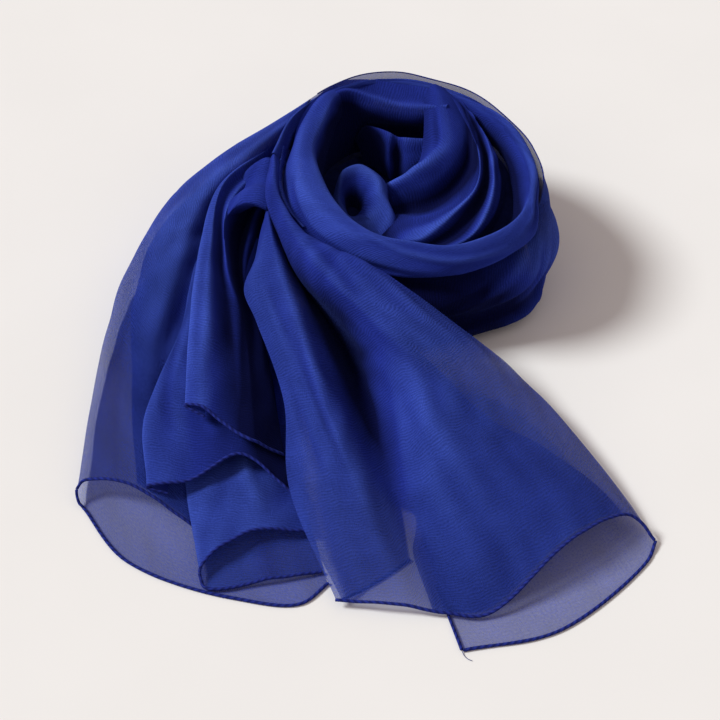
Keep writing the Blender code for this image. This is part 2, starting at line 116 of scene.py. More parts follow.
# columns: angle, outer_foot, outer, crest, inner, low, inner_foot
RIM_TURN = (
    (-243, (112, 84), (112.5, 88), (111.5, 92), (110, 93), (108.5, 89), (107, 82)),
    (-232, (112, 82), (113, 92), (108, 99), (100, 98), (96, 88), (94, 74)),
    (-215, (104, 70), (107, 87), (99, 96), (87, 95), (84, 80), (82, 60)),
    (-199, (97, 62), (101, 83), (93, 94), (82, 92), (79, 73), (75, 52)),
    (-180, (97, 58), (101, 80), (89, 94), (75, 92), (72, 70), (70, 50)),
    (-163, (98, 55), (102, 77), (88, 94), (71.5, 91), (69, 68), (67, 47)),
    (-145, (98, 56), (103, 74), (88, 92), (73, 91), (70, 68), (67, 47)),
    (-124, (98, 60), (103, 73), (90, 90), (79, 91), (76, 72), (71, 52)),
    (-106, (99, 61), (104, 72), (94, 87), (85, 91), (82, 74), (77, 57)),
    (-88, (100, 63), (108, 71), (101, 85), (91, 92), (89, 76), (84, 62)),
    (-70, (104, 65), (112, 72), (109, 84), (101, 92), (98, 80), (92, 66)),
    (-50, (108, 72), (119, 77), (115, 88), (106, 94), (103, 80), (97, 67)),
    (-34, (110, 75), (121, 80), (116, 91), (107, 95), (104, 82), (99, 69)),
    (-20, (103, 76), (110, 89), (107, 96), (102, 95), (96, 83), (90, 72)),
    (-4, (99, 74), (106, 89), (102, 97), (96, 94), (90, 83), (85, 74)),
    (15, (92, 76), (99, 92), (96, 99), (91, 95), (87, 83), (84.5, 75)),
    (38, (89, 78), (95, 94), (93, 100), (89, 96), (86.5, 82), (86, 73)),
    (62, (91, 78), (97, 94), (95, 101), (91, 97), (88.5, 84), (88, 75)),
    (85, (98, 78), (103, 93), (101, 101), (97, 98), (95.5, 87), (95, 79)),
    (106, (104, 78), (108, 92), (106, 100), (103, 98), (102, 88), (101.5, 79)),
    (126, (108, 74), (112, 89), (110, 97), (107.5, 94), (106, 84), (105.5, 76)),
    (148, (110, 66), (114, 86), (111, 95), (107, 87), (106, 77), (106, 68)),
    (172, (112, 62), (115, 82), (111, 91), (106, 83), (105.5, 76), (105.5, 68)),
)

# columns: angle, outer, hollow, crest, face, lip, under, foot
MIDDLE_TURN = (
    (64, (93, 95), (86, 93), (78, 97), (75, 90), (75, 82), (84, 66), (84, 40)),
    (80, (94, 98), (84, 93), (75, 94), (72, 88), (72, 80), (82, 64), (82, 40)),
    (95, (98, 99), (88, 91), (80, 91), (77, 85), (77, 77), (86, 62), (86, 38)),
    (107, (106, 100), (98, 93), (90, 93), (86, 86), (85, 77), (90, 62), (90, 36)),
    (120, (112, 101), (109, 97), (104, 97), (101, 88), (99, 79), (95, 62), (94, 34)),
    (135, (110, 97), (106, 94), (101, 92), (97, 86), (94, 78), (91, 62), (90, 34)),
    (150, (104, 92), (100, 89), (95, 87), (90, 81), (88, 74), (86, 62), (84, 36)),
    (165, (99, 84), (95, 82), (91, 80), (86, 76), (84, 70), (82, 62), (80, 40)),
)

# columns: angle, inner_foot, inner, crest, outer, outer_foot, about the scroll
EYE_SCROLL = (
    (-62, (9, 34), (12, 47), (29, 54), (46, 54), (62, 48)),
    (-35, (8, 34), (11, 50), (27, 58), (38, 57), (50, 46)),
    (-10, (7, 34), (10, 53), (22, 64), (28, 61), (32, 44)),
    (20, (6.5, 34), (10, 55), (22, 68), (28.5, 64), (31, 42)),
    (50, (6.5, 34), (10, 57), (22, 70), (28, 66), (31, 42)),
    (80, (8, 34), (13, 58), (25, 70), (30, 66), (33, 42)),
    (110, (8, 34), (13, 58), (22, 67), (26, 62), (28, 42)),
    (140, (6, 34), (10, 54), (15, 61), (18.5, 57), (21, 42)),
    (180, (5, 34), (7, 49), (12, 55), (16, 52), (19, 40)),
    (225, (5, 34), (7, 45), (12, 51), (18, 50), (24, 42)),
    (262, (8, 34), (12, 44), (20, 51), (32, 53), (44, 50)),
    (298, (9, 34), (12, 47), (29, 54), (46, 54), (62, 48)),
)

# ---------------------------------------------------------- folds, by stations
# Each row is one fold, from the tucked side of the cloth to the other: its name,
# then a point (x, y, height) at each station along the cloth.

# stations: under_scroll, by_scroll, front_left, front, front_right, right, back_right,
# back, top
INNER_TURN = (
    ("back_fold", (8, 156, 32), (27, 166, 34), (35, 168, 40), (44, 164, 58), (50, 163, 71),
     (53, 178, 80), (54, 197, 89), (55, 214, 97), (60, 224, 100)),
    ("first_crest", (8, 147, 46), (22.5, 144, 59), (34, 145, 66), (47, 147, 73),
     (60, 151, 79), (72, 162, 85), (74, 186, 91), (69, 208, 97), (64, 225, 101)),
    ("bowl_side", (12, 138, 42), (27, 138, 51), (38, 139, 58), (53, 140, 63), (69, 146, 70),
     (83, 160, 79), (84, 186, 89), (77, 206, 96), (66, 224, 101)),
    ("bowl", (14, 126, 38), (29, 127, 44), (41, 128, 46), (56, 130, 48), (73, 138, 54),
     (89, 152, 68), (91, 178, 86), (83, 203, 95), (69, 223, 100)),
    ("bowl_front", (14, 108, 44), (30, 114, 51), (44, 107, 55), (62, 108, 60),
     (79, 115, 67), (91, 131, 75), (96, 155, 84), (87, 199, 95), (72, 221, 99)),
    ("second_crest", (20, 74, 58), (33, 73, 63), (47, 69, 69), (64, 78, 75), (80, 92, 80),
     (94, 110, 86), (98, 146, 91), (87, 186, 95), (76, 217, 98)),
    ("crease", (30, 64, 56), (45, 64, 60), (60, 66, 63), (80, 80, 67), (94, 103, 71),
     (103, 130, 77), (102, 164, 84), (92, 194, 92), (80, 214, 97)),
    ("third_crest", (38, 56, 58), (53, 57, 66), (72, 58, 70), (90, 68, 75), (101, 87, 81),
     (108, 114, 87), (107, 158, 89), (96, 190, 93), (85, 211, 96)),
    ("valley", (46, 50, 54), (61, 51, 60), (86, 62, 61), (104, 83, 62), (114, 101, 66),
     (119, 125, 70), (115, 158, 76), (100, 186, 87), (90, 208, 92)),
)

# stations: left_end, hole_side, rise, fold, trough, thin_fold, right_end
FAR_FOLD = (
    ("behind", (0, 218, 44), (6, 219, 58), (18, 214, 60), (27, 208, 58), (34, 206, 57),
     (40, 203, 58), (62, 200, 60)),
    ("crest", (-4, 213, 50), (4, 211, 66), (16, 205, 69), (26, 200, 68), (32, 198, 65),
     (38, 195, 67), (60, 192, 68)),
    ("face", (0, 205, 44), (8, 204, 56), (18, 198, 58), (25, 191, 57), (32, 192, 50),
     (38, 187, 55), (57, 184, 58)),
    ("foot", (4, 196, 32), (12, 193, 36), (20, 185, 34), (26, 180, 33), (33, 182, 31),
     (39, 177, 36), (54, 178, 44)),
)

# stations of the left end: throat, shoulder, middle, lower, end
LEFT_OUTER_FOLD = (
    ("floor_inner", (-50, 170, 0), (-68, 92, 0), (-59, -14, 0), (-45, -123, 0),
     (-23, -212, 0)),
    ("floor_right", (-52, 174, 0), (-80, 105, 0), (-78, -3, 0), (-69, -117, 0),
     (-42, -229, 0)),
    ("floor_middle", (-54, 178, 0), (-94, 119, 0), (-103, 9, 0), (-103, -101, 0),
     (-89, -224, 0)),
    ("floor_outer", (-52, 188, 0), (-122, 140, 0), (-147, 40, 0), (-161, -74, 0),
     (-165, -194, 0)),
    ("foot", (-36.3, 206.3, 1), (-138, 159, 0), (-184, 84, 0), (-202, -22, 0),
     (-203, -146, 1)),
    ("low_swell", (-43.4, 213.4, 17), (-143, 161, 12), (-187, 84, 7),
     (-204, -22, 4), (-206, -144, 3)),
    ("low_crease", (-42, 212, 29), (-145, 160, 25), (-188, 82, 15),
     (-205, -22, 9), (-207.5, -141, 5)),
    ("swell", (-46.9, 216.9, 46), (-146, 158, 41), (-187, 81, 25),
     (-204.5, -22, 15), (-208, -138, 8)),
    ("high_swell", (-45.5, 215.5, 72), (-143, 154, 56), (-185, 78, 35),
     (-203, -23, 22), (-207, -135, 11)),
    ("outer_crest", (-42, 212, 94), (-138, 148, 66), (-181, 75, 43),
     (-199, -26, 28), (-202, -131, 15)),
    ("bright_crest", (-48, 200, 94), (-131, 135, 67), (-169, 70, 52),
     (-185, -41, 34), (-178, -135, 20)),
    ("sheer_end", (-68, 180, 66), (-110, 124, 47), (-120, 60, 34), (-127, -50, 15),
     (-119, -164, 2.4)),
)

LEFT_UNDER_FOLD = (
    ("low_end", (-64, 156, 5), (-75, 86, 2.5), (-75, -8, 2.3), (-58, -117, 2.3),
     (-27, -203, 2.3)),
    ("low_wave", (-70, 158, 6), (-88, 90, 4), (-96, -6, 4), (-88, -117, 5),
     (-62, -210, 5)),
    ("edge_low", (-78, 160, 7), (-102, 96, 5), (-122, 1, 4), (-128, -117, 4),
     (-111, -214, 3)),
    ("edge_high", (-79, 157, 12), (-103, 93, 10), (-124, -1, 9), (-130, -118, 9),
     (-113, -206, 8)),
    ("top_crest", (-75, 154, 15), (-93, 92, 13), (-103, -7, 14), (-102, -106, 15),
     (-87, -181, 15)),
    ("top_end", (-66, 152, 13), (-72, 90, 9), (-63, -4, 7), (-52, -101, 7),
     (-37, -171, 8)),
)

LEFT_MIDDLE_FOLD = (
    ("tucked", (-101, 138, 18), (-115, 112, 18), (-133, 5, 20), (-147, -84, 15),
     (-140, -143, 14)),
    ("edge", (-108, 143, 25), (-125, 113, 36), (-141, 3, 33), (-162, -84, 26),
     (-155, -141, 21)),
    ("crest", (-102, 139, 29), (-117, 107, 37), (-134, 19, 39), (-137, -68, 31),
     (-124, -136, 22)),
    ("slope", (-97, 134, 25), (-108, 104, 24), (-115, 21, 34), (-105, -58, 30),
     (-91, -117, 28)),
    ("right_end", (-88, 126, 19), (-88, 96, 18), (-80, 21, 15), (-66, -59, 13),
     (-50, -140, 12)),
)

LEFT_TOP_FOLD = (
    ("tucked", (-71.3, 175.6, 60), (-113, 122, 55), (-121, 65, 45), (-119, -3, 43),
     (-115, -90, 38)),
    ("edge", (-73.2, 176.3, 69), (-119, 126, 67), (-128, 71, 58), (-131, -3, 51),
     (-130, -83, 44)),
    ("crest", (-71.3, 175.6, 77), (-114, 126, 73), (-120, 69, 62), (-119, -6, 55),
     (-118, -86, 46)),
    ("trough", (-69.8, 175, 72), (-111, 115, 65), (-112, 64, 51), (-101, -2, 41),
     (-92, -103, 37)),
    ("band", (-69.3, 174.8, 68), (-108, 106, 66), (-107, 57, 53), (-92, 1, 41),
     (-82, -108, 35)),
    ("pocket", (-68.7, 174.5, 60), (-98, 109, 36), (-99, 61, 36), (-86, 3, 33),
     (-73, -108, 29)),
    ("loop", (-67.6, 174.1, 53), (-91, 106, 46), (-94, 56, 40), (-79, -1, 31),
     (-66, -108, 22)),
    ("right_end", (-65.8, 173.3, 44), (-79, 104, 30), (-86, 47, 26), (-69, -30, 19),
     (-57, -108, 15)),
)

# stations: turn, throat, shoulder, upper, middle, lower, end_side, end
RIGHT_UPPER_LAYER = (
    ("finger_edge", (-72.6, 145.4, 44), (-81, 88, 58), (-84, 60, 55), (-92, 32, 50),
     (-81, 1, 44), (-58, -68, 32), (-51, -145, 19), (-17, -229, 6)),
    ("finger_face", (-73.1, 145.5, 53), (-77, 94, 68), (-77, 64, 65), (-81, 36, 59),
     (-66, -6, 53), (-43, -68, 37), (-18, -149, 26), (10, -232, 8)),
    ("finger_crest", (-73.3, 145.5, 60), (-75, 97, 73), (-70, 67, 69), (-63, 36, 64),
     (-48, -10, 57), (-27, -70, 38), (-3, -147, 27), (30, -234, 8)),
    ("dark_valley", (-73, 145.5, 68), (-73, 100, 74), (-62, 71, 58), (-44, 47, 34),
     (-16, 9, 13), (6, -64, 10), (29, -148, 9), (59, -238, 4)),
    ("lit_edge", (-75, 145.8, 82), (-75, 96, 85), (-64, 64, 77), (-49, 33, 66),
     (-14, -2, 54), (23, -54, 41), (60, -141, 27), (95, -236, 6)),
    ("ridge", (-71.1, 145.3, 91), (-67, 103, 89), (-56, 69, 86), (-37, 33, 82),
     (-4, -2, 70), (54, -55, 50), (105, -126, 37), (144, -195, 26)),
    ("fold_top", (-66.1, 144.6, 83), (-61, 94, 81), (-45, 65, 80), (-12, 34, 85),
     (27, 3, 74), (98, -50, 46), (152, -122, 32), (193, -164, 17)),
    ("fold_edge", (-65.6, 144.6, 70), (-60, 95, 65), (-42, 66, 62), (3, 30, 80),
     (51, 6, 61), (120, -37, 27), (177, -117, 16), (212, -177, 3.2)),
)

# stations: upper, middle, lower, end_side, end
RIGHT_LOWER_LAYER = (
    ("fold_under", (3, 29, 79), (51, 6, 60.2), (120, -37, 26.2), (177, -117, 15.2),
     (212, -177.5, 2.8)),
    ("bend", (-2, 24, 52), (48, 1, 30), (113, -46, 2), (174, -134, 0),
     (203, -195, 0)),
    ("floor_middle", (-20, 38, 20), (28, 2, 1), (73, -66, 0), (120, -163, 0),
     (138, -250, 0)),
    ("free_edge", (-33, 55, 4), (4, 4, 0), (31, -75, 0), (46, -181, 0),
     (70, -266, 0)),
)

# stations: throat, shoulder, upper, middle, lower, end_side, end
RIGHT_FINGER_TUCK = (
    ("under_edge", (-84, 87, 52), (-91, 57, 48), (-91, 41, 44), (-80, 6, 34),
     (-57, -66, 24), (-49, -145, 15), (-13, -228, 4)),
    ("tucked_bend", (-74, 88, 36), (-72, 60, 28), (-66, 40, 20), (-54, 4, 6),
     (-38, -76, 1), (-11, -142, 0), (18, -206, 0)),
    ("inner_end", (-62, 90, 18), (-57, 66, 12), (-50, 44, 8), (-32, 20, 2),
     (-4, -60, 0), (26, -130, 0), (35, -192, 0)),
)

# How finely each sheet is laid: steps between stations, steps between folds
FINENESS = {
    "outer_turn": (20, 12),
    "rim_turn": (16, 10),
    "middle_turn": (12, 10),
    "eye_scroll": (10, 8),
    "inner_turn": (18, 12),
    "far_fold": (12, 14),
    "left_outer_fold": (60, 12),
    "left_under_fold": (50, 14),
    "left_middle_fold": (50, 16),
    "left_top_fold": (54, 10),
    "right_upper_layer": (30, 20),
    "right_lower_layer": (36, 28),
    "right_finger_tuck": (22, 18),
}

# How many layers of chiffon lie together.  A single number holds all over; in a
# table each row is a fold and each number a station, as in the sheet's own table.
# The high counts, 6 to 9, stand mostly where shade falls, in the rosette's front wall, feet,
# hollows and far wall and in the ends' pockets and valleys: there they make the cloth opaque
# and darken its colour, partly as the depth of stacked cloth and partly as painted shade.
LAYERS = {
    "outer_turn": (
        (8, 8, 8, 6, 5, 5, 6, 6, 6, 6, 6, 6, 6, 6),
        (8, 8, 8, 5, 3.5, 3.5, 6, 6, 6, 6, 6, 6, 6, 6),
        (8, 8, 8, 5, 2.5, 2.5, 5, 5, 5, 5, 5, 5, 5, 5),
        (8, 8, 8, 4, 2, 2, 4, 4, 3.5, 3, 3, 3, 3, 3),
        (8, 8, 7, 3, 1.6, 1.5, 1.5, 1.5, 1.5, 1.5, 1.5, 1.5, 1.5, 1.5),
        (6, 6, 5, 2.2, 1.4, 1.3, 1.3, 1.3, 1.3, 1.3, 1.3, 1.3, 1.3, 1.3)),
    "rim_turn": ((7,) * 2, (4,) * 2, (3,) * 2, (3,) * 2, (6,) * 2, (9,) * 2),
    "middle_turn": (
        (3, 3, 3, 3, 3, 3, 3, 3), (3, 3, 3, 3, 3, 4, 4, 4), (3, 3, 3, 3, 4, 6, 8, 8),
        (3, 3, 3, 3, 6, 9, 9, 9), (6, 6, 6, 7, 9, 9, 9, 9), (9, 9, 9, 9, 9, 9, 9, 9),
        (9, 9, 9, 9, 9, 9, 9, 9)),
    "eye_scroll": ((9, 9), (5, 5), (2, 2), (2.4, 2.4), (8, 8)),
    "inner_turn": (
        (9, 5, 3, 3, 4, 5, 5, 4, 3), (7, 3, 2.6, 2.6, 2.6, 3, 3, 3, 3),
        (8, 4, 4, 4, 4, 4, 4, 4, 3), (9, 7, 6, 6, 6, 7, 7, 5, 4),
        (9, 6, 4, 4, 4, 6, 7, 5, 4), (8, 5, 3, 3, 3, 3, 3, 3, 3),
        (9, 8, 8, 8, 8, 8, 7, 6, 4), (8, 5, 3, 3, 3, 3, 3, 3, 3),
        (9, 9, 9, 9, 9, 9, 9, 8, 6)),
    "far_fold": (
        (9, 9, 9, 9, 9, 9, 9), (9, 9, 5, 3, 5, 3, 3), (9, 9, 8, 3, 9, 3, 4),
        (9, 9, 9, 5, 9, 5, 5)),
    "left_outer_fold": (
        (1, 1, 1, 1, 1.1), (1, 1, 0.9, 0.9, 1.1),
        (1, 1, 0.9, 0.8, 1.1), (1, 1, 0.9, 0.7, 1),
        (2, 2, 1.4, 0.9, 0.9), (2, 2.2, 1.4, 0.8, 0.8), (2, 2.2, 1.3, 0.7, 0.8),
        (2, 2.2, 1.2, 0.7, 0.8), (2, 2.2, 1.2, 0.7, 0.8), (2.5, 2, 1.1, 0.7, 0.8),
        (3, 2, 1, 0.6, 0.7), (4, 4, 2.4, 1.5, 1.2)),
    "left_under_fold": (
        (3, 2.5, 2, 1.2, 1), (3, 2.5, 2, 1.2, 1), (3, 2.5, 2, 1.3, 1.2),
        (3, 3, 2.2, 1.8, 1.6), (3, 3, 2.4, 2, 1.8), (3, 3, 2.4, 2, 1.8)),
    "left_middle_fold": (
        (3, 3, 3, 3, 3), (2.4, 2.2, 2, 2, 2), (2.4, 2, 2, 2, 2.2), (5, 5, 5, 5.5, 6.5),
        (8, 8, 8, 8, 8)),
    "left_top_fold": (
        (3, 3, 2.6, 2.4, 2.4), (3, 2.4, 2.4, 2.4, 2.4), (3, 2.2, 2.4, 2.4, 2.4),
        (3, 3, 4, 5, 5.5), (3, 3, 5, 7.5, 8), (8, 9, 8, 8, 8), (6, 7, 7, 8, 8),
        (9, 9, 8, 8, 8)),
    "right_upper_layer": (
        (6, 3, 1.9, 1.6, 1.7, 2, 1.7, 1.2), (3, 3, 1.9, 1.6, 1.6, 1.7, 1.5, 1),
        (3, 3, 2.4, 2.4, 3, 2.6, 1.5, 1), (8, 8, 9, 9, 9, 6, 1.6, 1),
        (5, 4, 5, 6.5, 7, 3, 1.2, 1), (3, 2.6, 2.4, 2.4, 2.2, 1.1, 0.9, 0.9),
        (3, 3, 3, 3, 2.4, 1.2, 1, 0.9), (4, 5, 4, 3, 2, 1.3, 1.1, 1)),
    "right_lower_layer": 0.75,
    "right_finger_tuck": (
        (3, 3, 3, 2.4, 2, 1.2, 1), (3, 3, 3, 2.4, 2, 1.2, 1), (3, 3, 3, 2.4, 2, 1.2, 1)),
}

# Layers folded inside an end, which show through it.  Each lies under a part of
# its upper sheet, this far below it; its left and right sides are given as
# (fold, station) places in that sheet's table.
# columns: name, upper sheet, depth, layers, left side, right side
INNER_LAYERS = (
    ("right_inner_layer", "right_upper_layer", 3.5, 1.35,
     ((2.2, 3.5), (2.1, 4.6), (2.1, 5.3), (2.5, 5.85), (3.2, 6.15), (2.9, 6.45),
      (2.75, 6.97)),
     ((5.1, 4.4), (5.15, 5.1), (5.2, 5.5), (5.75, 5.9), (6.1, 6.5), (6.0, 6.95))),
    ("left_inner_layer", "left_outer_fold", 3.0, 2.4,
     ((10.1, 0.7), (9.8, 1.15), (9.5, 1.5), (9.4, 1.85), (9.75, 2.2), (10.05, 2.6),
      (10.2, 2.9), (10.25, 3.2), (10.25, 3.65), (10.25, 3.96)),
     ((10.9, 0.7), (10.9, 1.15), (10.95, 1.5), (10.95, 1.85), (10.95, 2.2), (10.95, 2.6),
      (10.95, 2.9), (10.95, 3.2), (10.95, 3.65), (10.95, 3.96))),
)

# A thin fold that lies between the rim and the right end, over its throat.
# stations: top, upper, middle, lower_end
THROAT_FOLD = (
    ("outer_side", (-68, 168, 76), (-70, 135, 70), (-64, 104, 66), (-49, 80, 66)),
    ("crest", (-64, 160, 88), (-66, 122, 83), (-58, 92, 80), (-45, 72, 78)),
    ("inner_side", (-57, 168, 74), (-58, 137, 64), (-50, 110, 62), (-40, 88, 64)),
)

# The folded lip over the dark pocket between the left top fold and the finger
# stations: behind, crease, crest, lip, tucked
POCKET_ROOF = (
    ("left", (-99, 145, 66), (-104, 128, 60), (-107, 114, 66), (-110, 101, 61),
     (-106, 118, 44)),
    ("middle", (-87, 147, 80), (-92, 130, 70), (-95, 115, 78), (-99, 103, 74),
     (-94, 118, 54)),
    ("right", (-76, 147, 86), (-82, 128, 76), (-83, 112, 84), (-86, 99, 80),
     (-82, 116, 60)),
    ("by_rim", (-69, 146, 84), (-72, 124, 76), (-73, 108, 82), (-75, 95, 78),
     (-72, 112, 58)),
)

# Creases, given one by one: soft ridges, or troughs where the height is below zero.
# columns: sheet, height, half width, then (fold, station) places along the crease
CREASES = (
    # the front wall of the rosette, from the pinch under the rim downwards
    ("outer_turn", 2.2, 9, (4.7, 3.6), (4.1, 2.7), (3.3, 1.8), (2.8, 0.8)),
    ("outer_turn", -2.4, 8, (4.5, 4.1), (3.5, 3.4), (2.6, 2.7), (2.0, 1.6)),
    ("outer_turn", 4.5, 9, (4.6, 4.6), (3.5, 4.3), (2.2, 3.8), (1.0, 3.3)),
    ("outer_turn", -2.0, 7, (3.9, 2.2), (3.2, 1.4), (2.2, 0.6)),
    ("outer_turn", 3.0, 7, (1.6, 2.6), (1.3, 1.4), (1.4, 0.3)),
    # and round its back
    ("outer_turn", -4.0, 8, (4.4, 5.2), (3.6, 6.1), (3.2, 7.4), (3.4, 8.6)),
    ("outer_turn", 4.0, 8, (2.6, 5.4), (2.4, 6.6), (2.7, 8.2), (2.2, 9.4)),
    ("outer_turn", -3.5, 7, (4.3, 8.8), (3.9, 9.8), (3.3, 10.9), (3.4, 12.2)),
    ("outer_turn", 3.5, 8, (2.4, 9.8), (2.9, 10.9), (2.6, 12.2), (2.2, 12.9)),
    # the rim's long folds
    ("rim_turn", -3.0, 6, (1.6, 4.4), (1.3, 5.6), (1.1, 7.0), (1.0, 8.6), (0.8, 10.0)),
    ("rim_turn", 2.0, 5, (2.5, 7.4), (2.2, 8.8), (1.9, 10.2), (1.6, 11.2)),
    ("rim_turn", -3.5, 5, (1.8, 11.6), (1.6, 12.8), (1.5, 14.0), (1.6, 15.2)),
    ("rim_turn", 2.5, 5, (2.6, 12.2), (2.4, 13.6), (2.3, 15.0), (2.2, 16.2)),
    ("rim_turn", -3.0, 5, (2.3, 16.2), (2.0, 17.2), (1.7, 18.4), (1.6, 19.8)),
    ("rim_turn", 2.5, 5, (1.0, 17.0), (1.3, 18.4), (1.5, 19.8), (1.4, 21.2)),
    # the folds inside the rosette
    ("inner_turn", -2.0, 4, (4.5, 3.6), (4.6, 4.6), (4.5, 5.6), (4.3, 6.8)),
    ("inner_turn", -2.0, 4, (0.6, 4.6), (0.5, 5.6), (0.5, 6.6)),
    ("inner_turn", 2.0, 4, (7.4, 2.8), (7.5, 4.0), (7.5, 5.2), (7.4, 6.2)),
    # the left end
    ("left_outer_fold", 2.4, 10, (10.2, 0.7), (10.4, 1.4), (10.5, 2.2), (10.3, 3.0)),
    ("left_outer_fold", -2.0, 9, (9.4, 0.6), (9.3, 1.1), (9.3, 1.7)),
    ("left_outer_fold", 1.8, 8, (8.2, 1.2), (8.5, 2.0), (8.4, 3.0)),
    ("left_outer_fold", 1.5, 9, (9.9, 2.3), (10.0, 3.0), (10.1, 3.9)),
    ("left_outer_fold", -2.0, 9, (10.7, 1.9), (10.6, 2.7), (10.6, 3.5)),
    ("left_top_fold", -1.5, 7, (2.4, 0.6), (2.5, 1.3), (2.6, 2.2), (2.5, 3.0)),
    ("left_top_fold", 1.5, 9, (3.4, 2.4), (3.3, 3.0), (3.4, 3.7)),
    ("left_top_fold", -1.5, 8, (4.4, 2.6), (4.1, 3.2), (4.0, 3.8)),
    ("left_top_fold", 1.2, 6, (1.4, 1.8), (1.3, 2.6), (1.4, 3.6)),
    ("left_middle_fold", -1.8, 8, (1.6, 1.8), (1.6, 2.6), (1.8, 3.4)),
    ("left_middle_fold", 1.8, 8, (2.6, 2.4), (2.5, 3.0), (2.7, 3.7)),
    ("left_under_fold", 2.0, 8, (4.4, 2.6), (4.3, 3.2), (4.4, 3.8)),
    # the right end
    ("right_upper_layer", -1.9, 8, (5.5, 2.4), (5.4, 3.2), (5.2, 4.0)),
    ("right_upper_layer", 1.7, 9, (6.3, 2.8), (6.2, 3.6), (5.9, 4.5)),
    ("right_upper_layer", -1.7, 9, (4.6, 3.6), (4.7, 4.4), (4.9, 5.2)),
    ("right_upper_layer", 2.2, 14, (4.4, 4.8), (4.3, 5.6), (4.4, 6.4)),
    ("right_upper_layer", -1.0, 12, (5.6, 5.1), (5.4, 5.8), (5.5, 6.5)),
    ("right_upper_layer", 1.4, 6, (1.2, 3.2), (1.1, 4.0), (1.2, 4.8)),
    ("right_upper_layer", -1.4, 7, (0.6, 4.6), (0.7, 5.3), (0.9, 6.0)),
    ("right_upper_layer", -1.1, 5, (1.7, 4.2), (1.6, 5.0), (1.8, 5.8)),
)

# The loose thread at the right end's hem
THREAD_TAIL = ((69.5, -267.5, 1.2), (70.5, -270, 0.6), (73, -273, 0.4), (76, -274.5, 0.4))


# ------------------------------------------------------------------ the shapes
def smooth_between(rows, steps):
    """Points through rows (rows x n x 3), with this many steps from row to row."""
    gaps = np.linalg.norm(np.diff(rows, axis=0), axis=2).mean(axis=1)
    knots = np.concatenate(([0.0], np.cumsum(np.maximum(gaps, 1e-6))))
    slopes = np.diff(rows, axis=0) / np.diff(knots)[:, None, None]
    tangents = np.empty_like(rows)
    tangents[0] = slopes[0]
    tangents[-1] = slopes[-1]
    before = np.diff(knots)[:-1, None, None]
    after = np.diff(knots)[1:, None, None]
    tangents[1:-1] = (slopes[:-1] * after + slopes[1:] * before) / (before + after)
    points = []
    for i in range(len(rows) - 1):
        span = knots[i + 1] - knots[i]
        for k in range(steps):
            t = k / steps
            points.append((2 * t**3 - 3 * t**2 + 1) * rows[i]
                          + (t**3 - 2 * t**2 + t) * span * tangents[i]
                          + (3 * t**2 - 2 * t**3) * rows[i + 1]
                          + (t**3 - t**2) * span * tangents[i + 1])
    points.append(rows[-1])
    return np.array(points)


def cloth_points(folds, along, across, lowest=CLOTH_LIFT):
    """The cloth's grid, folds x stations x 3, none of it under what it lies on."""
    stations = smooth_between(np.swapaxes(folds, 0, 1), along)
    grid = smooth_between(np.swapaxes(stations, 0, 1), across)
    grid[..., 2] = np.maximum(grid[..., 2], lowest)
    return grid


def turn_folds(sections, middle):
    """The folds of a turn from its table of upright sections."""
    folds = []
    for column in range(1, len(sections[0])):
        fold = []
        for row in sections:
            angle = math.radians(row[0])
            radius, height = row[column]
            fold.append((middle[0] + radius * math.cos(angle),
                         middle[1] + radius * math.sin(angle), height))
        folds.append(fold)
    return np.array(folds)


def table_folds(table):
    """The folds of an end from its table, without their names."""
    return np.array([row[1:] for row in table], dtype=float)


def to_metres(points):
    """Table millimetres to scene metres, with the outline's middle at the origin."""
    return (np.asarray(points) - (MIDDLE[0], MIDDLE[1], 0.0)) * MM


def unit(vectors):
    length = np.linalg.norm(vectors, axis=-1, keepdims=True)
    return vectors / np.maximum(length, 1e-9)


def outward_normals(grid):
    """The unit normal at every point of a grid, on the side away from the floor."""
    normals = unit(np.cross(np.gradient(grid, axis=0), np.gradient(grid, axis=1)))
    under = np.append(grid[..., :2].mean(axis=(0, 1)), UNDER)
    return normals * np.sign(np.sum(normals * (grid - under)))


def lengths_along(grid, axis):
    """How far each point lies along the cloth from its first row or station, in mm."""
    steps = np.linalg.norm(np.diff(grid, axis=axis), axis=2)
    start = np.zeros_like(np.take(steps, [0], axis=axis))
    return np.concatenate((start, np.cumsum(steps, axis=axis)), axis=axis)


def sample(values, folds, stations):
    """Values of a grid at in-between rows and columns, each counted from 0."""
    i = np.clip(np.floor(folds).astype(int), 0, values.shape[0] - 2)
    j = np.clip(np.floor(stations).astype(int), 0, values.shape[1] - 2)
    u = (folds - i)[..., None]
    v = (stations - j)[..., None]
    flat = values.reshape(values.shape[0], values.shape[1], -1)
    mixed = ((1 - u) * (1 - v) * flat[i, j] + u * (1 - v) * flat[i + 1, j]
             + (1 - u) * v * flat[i, j + 1] + u * v * flat[i + 1, j + 1])
    return mixed.reshape(np.shape(folds) + values.shape[2:])


def smooth_through(places, steps):
    """A smooth line through places, with this many steps from place to place."""
    return smooth_between(np.array(places, dtype=float)[:, None, :], steps)[:, 0]


def smooth_line(places, count):
    """A smooth line of this many points through places (n x 2)."""
    line = smooth_through(places, LINE_STEPS)
    at = np.linspace(0, len(line) - 1, count)
    return np.column_stack([np.interp(at, np.arange(len(line)), line[:, k]) for k in (0, 1)])


def crease(grid, fineness, height, width, places):
    """Raises a soft ridge, or sinks a trough, along a line of (fold, station) places."""
    along, across = fineness
    line = smooth_line(places, CREASE_POINTS)
    path = sample(grid, line[:, 0] * across, line[:, 1] * along)
    step = np.diff(path, axis=0)
    nearest = np.full(grid.shape[:2], np.inf)
    share = np.zeros(grid.shape[:2])
    for k, start in enumerate(path[:-1]):
        reach = np.clip(np.sum((grid - start) * step[k], axis=2) / np.sum(step[k]**2), 0, 1)
        apart = np.linalg.norm(grid - start - reach[..., None] * step[k], axis=2)
        closer = apart < nearest
        nearest[closer] = apart[closer]
        share[closer] = (k + reach[closer]) / len(step)
    bell = np.where(nearest < width, (1 + np.cos(np.pi * nearest / width)) / 2, 0.0)
    fade = np.sin(np.pi * share) ** CREASE_FADE
    return grid + outward_normals(grid) * (height * bell * fade)[..., None]


